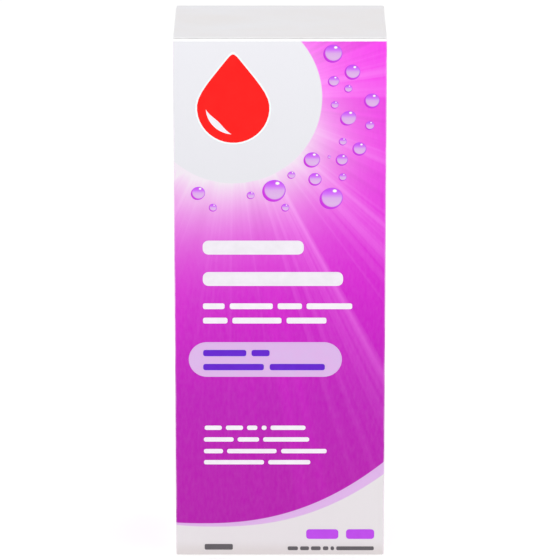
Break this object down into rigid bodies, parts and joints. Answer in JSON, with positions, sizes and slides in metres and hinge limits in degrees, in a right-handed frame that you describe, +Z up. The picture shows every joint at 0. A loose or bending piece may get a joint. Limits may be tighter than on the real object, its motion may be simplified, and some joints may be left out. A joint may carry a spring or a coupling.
{
  "type": "contact lens solution bottle",
  "caption": "Tuck-end paperboard carton around an oval squeeze bottle of lens solution, with a ribbed screw cap, dropper nozzle and folded leaflet.",
  "frame": {"origin": "middle of the carton's base, on the surface it stands on", "axes": "+Z up along the carton's height, -Y out of the front panel, +X to the right of a viewer facing the front"},
  "size_m": [0.073, 0.049, 0.187],
  "materials": {
    "printed_board": "satin",
    "white_board": "satin",
    "seam_glue": "matte",
    "bottle_plastic": "satin",
    "saline": "gloss",
    "nozzle_plastic": "satin",
    "cap_plastic": "satin",
    "liner_foam": "matte",
    "label_film": "gloss",
    "leaflet_paper": "matte"
  },
  "bodies": {
    "carton": {"front_panel": "printed_board", "back_panel": "printed_board", "left_side_panel": "printed_board", "right_side_panel": "printed_board", "glue_flap": "white_board", "seam_glue": "seam_glue", "leaflet": "leaflet_paper"},
    "top_closure": {"top_closure_panel": "white_board"},
    "top_tongue": {"top_tuck_tongue": "white_board"},
    "top_dust_left": {"top_dust_flap_left": "white_board"},
    "top_dust_right": {"top_dust_flap_right": "white_board"},
    "bottom_closure": {"bottom_closure_panel": "white_board"},
    "bottom_tongue": {"bottom_tuck_tongue": "white_board"},
    "bottom_dust_left": {"bottom_dust_flap_left": "white_board"},
    "bottom_dust_right": {"bottom_dust_flap_right": "white_board"},
    "bottle": {"bottle": "bottle_plastic", "saline_solution": "saline", "nozzle_insert": "nozzle_plastic", "tamper_ring": "cap_plastic", "front_label": "label_film", "back_label": "label_film"},
    "cap_carrier": {"cap_liner": "liner_foam"},
    "cap": {"screw_cap": "cap_plastic"}
  },
  "joints": [
    {"name": "bottle_lift", "type": "slide", "parent": "carton", "child": "bottle", "axis": [0, 0, 1], "range_m": [0, 0.08]},
    {"name": "top_closure_hinge", "type": "hinge", "parent": "carton", "child": "top_closure", "pos_m": [0, 0.02425, 0.18675], "axis": [-1, 0, 0], "range_deg": [0, 225]},
    {"name": "top_tongue_hinge", "type": "hinge", "parent": "top_closure", "child": "top_tongue", "pos_m": [0, -0.0235, 0.18675], "axis": [-1, 0, 0], "range_deg": [0, 22.5]},
    {"name": "top_dust_left_hinge", "type": "hinge", "parent": "carton", "child": "top_dust_left", "pos_m": [-0.03625, 0, 0.18615], "axis": [0, -1, 0], "range_deg": [0, 112.5]},
    {"name": "top_dust_right_hinge", "type": "hinge", "parent": "carton", "child": "top_dust_right", "pos_m": [0.03625, 0, 0.18615], "axis": [0, 1, 0], "range_deg": [0, 112.5]},
    {"name": "bottom_closure_hinge", "type": "hinge", "parent": "carton", "child": "bottom_closure", "pos_m": [0, -0.02425, 0.00025], "axis": [-1, 0, 0], "range_deg": [0, 225]},
    {"name": "bottom_tongue_hinge", "type": "hinge", "parent": "bottom_closure", "child": "bottom_tongue", "pos_m": [0, 0.0235, 0.00025], "axis": [-1, 0, 0], "range_deg": [0, 22.5]},
    {"name": "bottom_dust_left_hinge", "type": "hinge", "parent": "carton", "child": "bottom_dust_left", "pos_m": [-0.03625, 0, 0.00085], "axis": [0, 1, 0], "range_deg": [0, 112.5]},
    {"name": "bottom_dust_right_hinge", "type": "hinge", "parent": "carton", "child": "bottom_dust_right", "pos_m": [0.03625, 0, 0.00085], "axis": [0, -1, 0], "range_deg": [0, 112.5]},
    {"name": "cap_rise", "type": "slide", "parent": "bottle", "child": "cap_carrier", "axis": [0, 0, 1], "range_m": [0, 0.00397]},
    {"name": "cap_turn", "type": "hinge", "parent": "cap_carrier", "child": "cap", "pos_m": [0, 0, 0.168], "axis": [0, 0, 1], "range_deg": [0, 450]}
  ],
  "couplings": [
    {"joint": "top_closure_hinge", "follows": "bottle_lift", "rad_per_m": 49.087},
    {"joint": "top_tongue_hinge", "follows": "bottle_lift", "rad_per_m": 4.9087},
    {"joint": "top_dust_left_hinge", "follows": "bottle_lift", "rad_per_m": 24.543},
    {"joint": "top_dust_right_hinge", "follows": "bottle_lift", "rad_per_m": 24.543},
    {"joint": "bottom_tongue_hinge", "follows": "bottom_closure_hinge", "ratio": 0.1},
    {"joint": "bottom_dust_left_hinge", "follows": "bottom_closure_hinge", "ratio": 0.5},
    {"joint": "bottom_dust_right_hinge", "follows": "bottom_closure_hinge", "ratio": 0.5},
    {"joint": "cap_rise", "follows": "cap_turn", "m_per_rad": 0.00050532}
  ]
}
